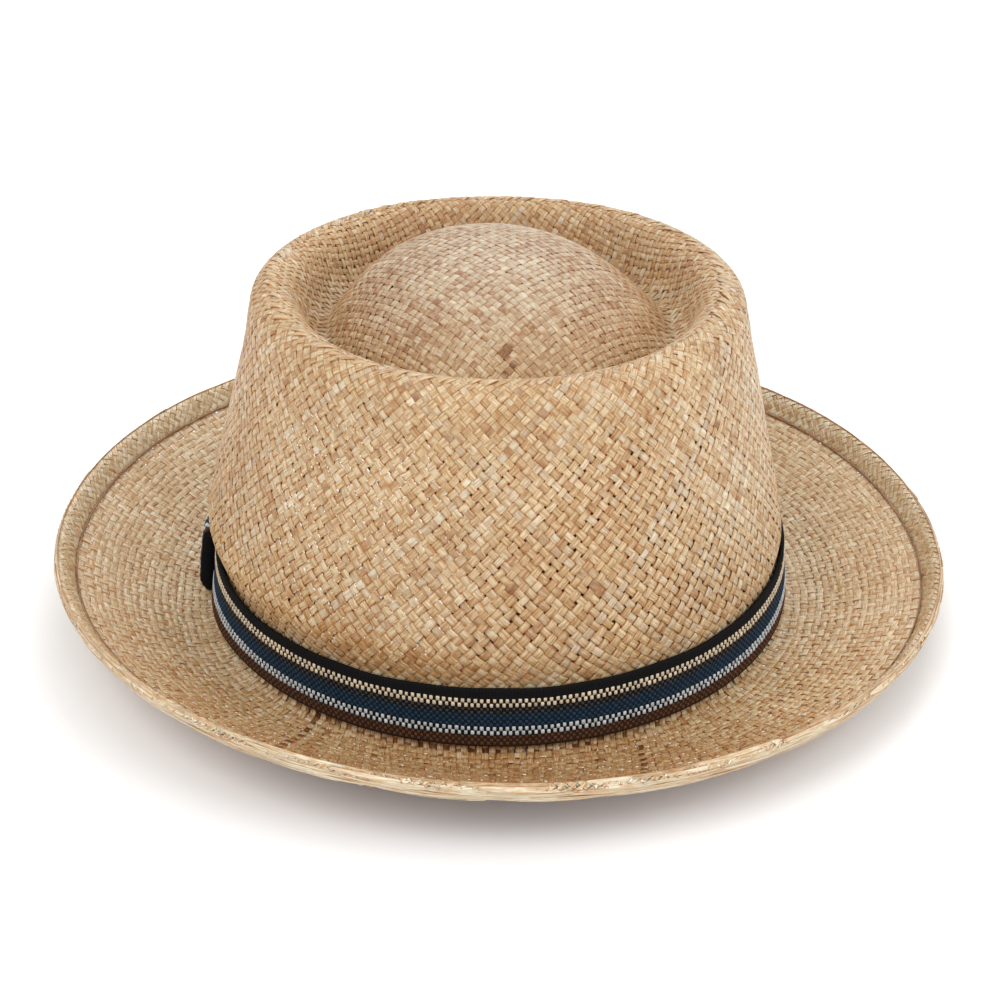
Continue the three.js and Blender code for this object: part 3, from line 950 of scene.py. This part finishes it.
def ribbon_body(name, place, across, span, closed):
    """A ribbon with a real thickness: place(across, lift) gives its points, span its length in mm."""
    lifts = [0.0] + [CLOTH_SWELL] * (len(across) - 2) + [0.0]
    ring = list(zip(across, lifts)) + [(a, -1.0) for a in reversed(across)]
    verts = np.stack([place(a, l) for a, l in ring], 1)
    rows, corners = verts.shape[:2]
    index = np.arange(rows * corners).reshape(rows, corners)
    here, there = (index, np.roll(index, -1, 0)) if closed else (index[:-1], index[1:])
    faces = np.stack([here, np.roll(here, -1, 1), np.roll(there, -1, 1), there], -1)
    u = np.arange(len(here))[:, None] * span / len(here) * np.ones(corners)
    # Every face but the outer one takes the black ground at 0.05 across: the ribbon's dark back, and
    # painted shade where the keeper's open sides show the inside of its loop
    outside = np.arange(corners) < len(across) - 1
    v = np.broadcast_to([a for a, _ in ring], u.shape)
    v_next = np.where(outside, np.roll(v, -1, 1), 0.05)
    v = np.where(outside, v, 0.05)
    uv = corner_uvs(u, u + span / len(here), v, v_next)
    faces, uv = faces.reshape(-1, 4), uv.reshape(-1, 4, 2)
    if not closed:
        for row, order in ((0, -1), (rows - 1, 1)):
            outer, inner = index[row, : len(across)], index[row, :-len(across) - 1:-1]
            quads = np.stack([outer[:-1], outer[1:], inner[1:], inner[:-1]], -1)[:, ::order]
            faces = np.concatenate([faces, quads])
            uv = np.concatenate([uv, np.full((len(quads), 4, 2), 0.05)])
    return mesh_object(name, verts.reshape(-1, 3), faces, uv)


# A float as a pad: its grid from edge to edge, how far its corners are drawn in, how deep its rim sits
PAD = np.array([-1.0, -0.72, 0.72, 1.0])
PAD_CORNER = 0.88
PAD_SINK = -0.05


def float_mesh(name, count, place, width_mm, flip=False, stitch=None):
    """Floats as small pads. place(t, across, lift) gives points, t in steps along the ribbon."""
    grid_x, grid_y = (g.ravel() for g in np.meshgrid(PAD, PAD, indexing="ij"))
    inner = (np.abs(grid_x) < 0.9) & (np.abs(grid_y) < 0.9)
    corner = (np.abs(grid_x) > 0.9) & (np.abs(grid_y) > 0.9)
    grid_x, grid_y = (np.where(corner, grid * PAD_CORNER, grid) for grid in (grid_x, grid_y))
    verts, colours = [], []
    for row, (across, colour, width, height, lift) in enumerate(FLOATS):
        t = (np.arange(count) + (0.5 if row % 2 else 0.0) + rng.normal(0, 0.025, count))[:, None]
        size = 1 + each(count, 0.05)
        x = t + grid_x * width / 2 / FLOAT_STEP * size
        y = across + grid_y * height / 2 / width_mm * size + each(count, 0.0022)
        z = np.where(inner, lift, PAD_SINK) * (1 + each(count, 0.1)) + CLOTH_SWELL
        verts.append(place(x, y, z).reshape(-1, 3))
        tint = np.clip(np.array(colour) * (1 + each(count, 0.10)), 0, 1)
        colours.append(np.repeat(np.c_[tint, np.ones(count)], len(grid_x), 0))
    if stitch is not None:
        t, across, colour, width, height, lift = stitch
        x = t + grid_x * width / 2 / FLOAT_STEP
        y = across + (grid_y * height + grid_x * 0.3) / 2 / width_mm
        z = np.where(inner, lift, PAD_SINK) + CLOTH_SWELL
        verts.append(place(x[None], y[None], z[None]).reshape(-1, 3))
        colours.append(np.repeat([(*colour, 1.0)], len(grid_x), 0))
    verts, colours = np.concatenate(verts), np.concatenate(colours)
    index = np.arange(len(verts)).reshape(-1, 4, 4)
    faces = np.stack([index[:, :-1, :-1], index[:, 1:, :-1], index[:, 1:, 1:], index[:, :-1, 1:]], -1)
    if flip:
        faces = faces[..., ::-1]
    return mesh_object(name, verts, faces.reshape(-1, 4), None, {"tint": colours})


band_angles = np.linspace(0, TAU, 600, endpoint=False)
# One golden stitch at the right: angle in steps, place across, colour, width, height and lift
STITCH = (346.5 / 360 * CHECKS, 0.10, (0.42, 0.24, 0.10), 1.5, 0.55, 0.3)
BAND_ACROSS = [0.0, 0.012, 0.06, 0.12, 0.2, 0.3, 0.4, 0.5, 0.6, 0.7, 0.8, 0.9, 0.96, 0.988, 1.0]
band = ribbon_body(
    "ribbon_band_cloth", lambda across, lift: band_point(band_angles, across, lift), BAND_ACROSS,
    BAND_LENGTH, True)
band_floats = float_mesh(
    "ribbon_band_floats", CHECKS, lambda t, across, lift: band_point(t / CHECKS * TAU, across, lift),
    BAND_HEIGHT, stitch=STITCH)

# Keeper: a short piece of the same ribbon folded several times over the band at the left, where it hides
# the join. It is thick enough to stand off the crown, and its stripes run up and down. Its black sides,
# where the loop opens, are painted shade.
KEEPER_WIDTH = 14.0
KEEPER_THICKNESS = 0.9
KEEPER_BULGE = 3.6
KEEPER_RISE = 0.8
PATH_STEP = 0.5
# Height as a share of the band's, and swell as a share of the bulge
KEEPER_FACE = [(0.0, 0.60), (0.14, 0.95), (0.36, 1.0), (0.68, 0.90), (1.0, 0.38)]


def keeper_path():
    """Way out from the crown's foot, and height, along the keeper's outer face from its foot up."""
    left = np.array([math.pi])
    foot = BAND_LIFT - CLEARANCE - KEEPER_THICKNESS
    head = BAND_TOP + CLEARANCE + KEEPER_THICKNESS + KEEPER_RISE
    tuck_low = float(crown_out(left, foot)[0]) + CLEARANCE
    tuck_high = float(crown_out(left, head)[0]) + CLEARANCE
    path = [(tuck_low + 0.4, foot + 0.35)]
    for level, swell in KEEPER_FACE:
        face = crown_out(left, BAND_LIFT + level * BAND_HEIGHT)[0]
        out = face + CLEARANCE * 2 + BAND_THICKNESS + swell * KEEPER_BULGE + KEEPER_THICKNESS
        path.append((float(out), foot + (head - foot) * level))
    path.insert(1, (path[1][0] - 0.9, foot + 0.05))
    path[2] = (path[2][0], foot + 1.0)
    path.append((path[-1][0] - 0.9, head + 0.1))
    path.append((tuck_high, head - 0.2))
    return smooth_path(path, PATH_STEP)


KEEPER_PATH = keeper_path()
KEEPER_LENGTH = PATH_STEP * (len(KEEPER_PATH) - 1)
KEEPER_TURN = math.asin(KEEPER_WIDTH / 2 / HALF_Y)
slope = unit(np.gradient(KEEPER_PATH, axis=0))
KEEPER_OUT = np.stack([slope[:, 1], -slope[:, 0]], 1)


def keeper_point(way, across, lift):
    """A point on the keeper: way in mm up its outer face, across from its far edge, 0, to its near.
    With a lift below 0 it is the point behind, next to the band."""
    at = np.clip(way / PATH_STEP, 0, len(KEEPER_PATH) - 1.001)
    k = np.floor(at).astype(int)
    t = (at - k)[..., None]
    spot = KEEPER_PATH[k] * (1 - t) + KEEPER_PATH[k + 1] * t
    face = KEEPER_OUT[k] * (1 - t) + KEEPER_OUT[k + 1] * t
    if np.ndim(lift) == 0 and lift < 0:
        out, height = spot[..., 0], spot[..., 1]
        behind = crown_out(np.full(out.shape, math.pi), height) + 2 * CLEARANCE + BAND_THICKNESS
        height = np.clip(height, BAND_LIFT - CLEARANCE, BAND_TOP + CLEARANCE)
        spot = np.stack([np.minimum(out, behind), height], -1)
    else:
        spot = spot + face * np.asarray(lift)[..., None]
    angle = math.pi + KEEPER_TURN * (2 * np.broadcast_to(across, spot[..., 0].shape) - 1)
    return oval(angle, spot[..., 0], spot[..., 1])


# The keeper's cloth swells less than the band's, and its floats stand out more
KEEPER_SWELL = 0.8
KEEPER_FLOAT_LIFT = 1.6
FIRST_FLOAT = 0.6
keeper_ways = np.arange(0, KEEPER_LENGTH, PATH_STEP)
keeper = ribbon_body(
    "ribbon_keeper_cloth",
    lambda across, lift: keeper_point(keeper_ways, across, lift * KEEPER_SWELL), BAND_ACROSS,
    KEEPER_LENGTH, False)
keeper_floats = float_mesh(
    "ribbon_keeper_floats", int(KEEPER_LENGTH / FLOAT_STEP) - 1,
    lambda t, across, lift: keeper_point((t + FIRST_FLOAT) * FLOAT_STEP, across, lift * KEEPER_FLOAT_LIFT),
    KEEPER_WIDTH, flip=True)

for piece, node in ((band, "ribbon_band"), (band_floats, "ribbon_band"),
                    (keeper, "ribbon_keeper"), (keeper_floats, "ribbon_keeper")):
    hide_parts(node)
    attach(piece, "root")

# Looks of the ribbon: matt thread. Fine ribs run across the ground weave, whose stripes follow the floats'
# colours, darker. The ribs' grooves are painted darker as painted shade, and the cloth is mottled.
RIB_PITCH = 0.97
GROUND_THREADS = 26
BLACK_GROUND = (0.0050, 0.0052, 0.0058, 1.0)
NAVY_GROUND = (0.0050, 0.0110, 0.0200, 1.0)
BROWN_GROUND = (0.026, 0.013, 0.008, 1.0)


def ribbon_material():
    material, shader, start = new_material("ribbon")
    uv = start.node("ShaderNodeUVMap", {"uv_map": "UVMap"})
    along_it, across = (uv.node("ShaderNodeSeparateXYZ", None, {0: uv}, output=axis) for axis in "XY")
    ribs = (along_it * (TAU / RIB_PITCH)).math("SINE") * 0.5 + 0.5
    threads = (across * (TAU * GROUND_THREADS)).math("SINE") * 0.5 + 0.5
    noise = uv.noise(2.2, 3.0, "2D")
    navy = across.between(0.42, 0.43) * (1 - across.between(0.64, 0.65))
    brown = across.between(0.80, 0.81)
    ground = brown.mix(navy.mix(BLACK_GROUND, NAVY_GROUND), BROWN_GROUND)
    # Painted shade in the rib grooves, and a mottle over the cloth
    rib_shade_and_mottle = grey(noise * 0.8 + ribs * 0.35 + 0.45)
    height = ribs * 0.6 + threads * 0.4 + noise * 0.4
    feed(shader, {
        "Base Color": ground.times(rib_shade_and_mottle), "Roughness": 0.9, "Specular IOR Level": 0.12,
        "Normal": height.bump(0.8, 0.0002),
    })
    return material


def float_material():
    material, shader, start = new_material("ribbon_floats")
    tint = start.node("ShaderNodeAttribute", {"attribute_name": "tint"})
    twist = start.node("ShaderNodeTexCoord", output="Object").noise(2600.0, 2.0)
    feed(shader, {
        "Base Color": tint.times(grey(twist * 0.7 + 0.65)), "Roughness": 0.8, "Specular IOR Level": 0.25,
        "Normal": twist.bump(0.5, 0.0001),
    })
    return material


ribbon = ribbon_material()
floats = float_material()
for piece, material in ((band, ribbon), (keeper, ribbon), (band_floats, floats), (keeper_floats, floats)):
    piece.data.materials.append(material)

# Setting: a pale floor that runs far out under the hat, on which it casts a soft shadow, in a white
# studio lit by wide soft lights from all sides.
FLOOR_SIZE = 12
FLOOR_COLOUR = (0.90, 0.90, 0.90, 1.0)
STUDIO_STRENGTH = 0.95
bpy.ops.mesh.primitive_plane_add(size=FLOOR_SIZE)
floor = bpy.context.object
floor.name = "floor"
floor_material, floor_shader, _ = new_material("floor")
feed(floor_shader, {"Base Color": FLOOR_COLOUR, "Roughness": 0.9, "Specular IOR Level": 0.1})
floor.data.materials.append(floor_material)

world = bpy.data.worlds.new("studio")
world.use_nodes = True
feed(world.node_tree.nodes["Background"], {"Color": (1.0, 1.0, 1.0, 1.0), "Strength": STUDIO_STRENGTH})
scene.world = world

# Lights: name, place and power in watts. All are squares of one size, aimed at the crown.
LIGHT_SIZE = 0.9
LIGHT_AIM = Vector((0, 0, 0.06))
for name, place, power in (
    ("key", (-0.75, -0.70, 1.15), 7.5),
    ("fill", (1.00, -0.45, 0.75), 6.0),
    ("back", (0.2, 1.0, 1.1), 6.0),
    ("front", (0.0, -1.1, 0.20), 3.0),
):
    data = bpy.data.lights.new(name, "AREA")
    data.shape = "SQUARE"
    data.size = LIGHT_SIZE
    data.energy = power
    light = bpy.data.objects.new(name, data)
    scene.collection.objects.link(light)
    light.location = place
    light.rotation_euler = (LIGHT_AIM - Vector(place)).to_track_quat("-Z", "Y").to_euler()

# Camera: in front of the hat and over it, as fitted to the photograph's ovals, and rolled a little.
ELEVATION = math.radians(27.60)
DISTANCE = 0.76715
TARGET = Vector((0.00008, 0.0, 0.03049))
ROLL = math.radians(-0.33)
camera_data = bpy.data.cameras.new("camera")
camera_data.sensor_width = 36.0
camera_data.lens = 86.436
camera = bpy.data.objects.new("camera", camera_data)
scene.collection.objects.link(camera)
offset = Vector((0, -math.cos(ELEVATION), math.sin(ELEVATION))) * DISTANCE
turn = (-offset).to_track_quat("-Z", "Y").to_matrix().to_4x4()
camera.matrix_world = Matrix.Translation(TARGET + offset) @ turn @ Matrix.Rotation(ROLL, 4, "Z")
scene.camera = camera
scene.view_settings.view_transform = "Standard"
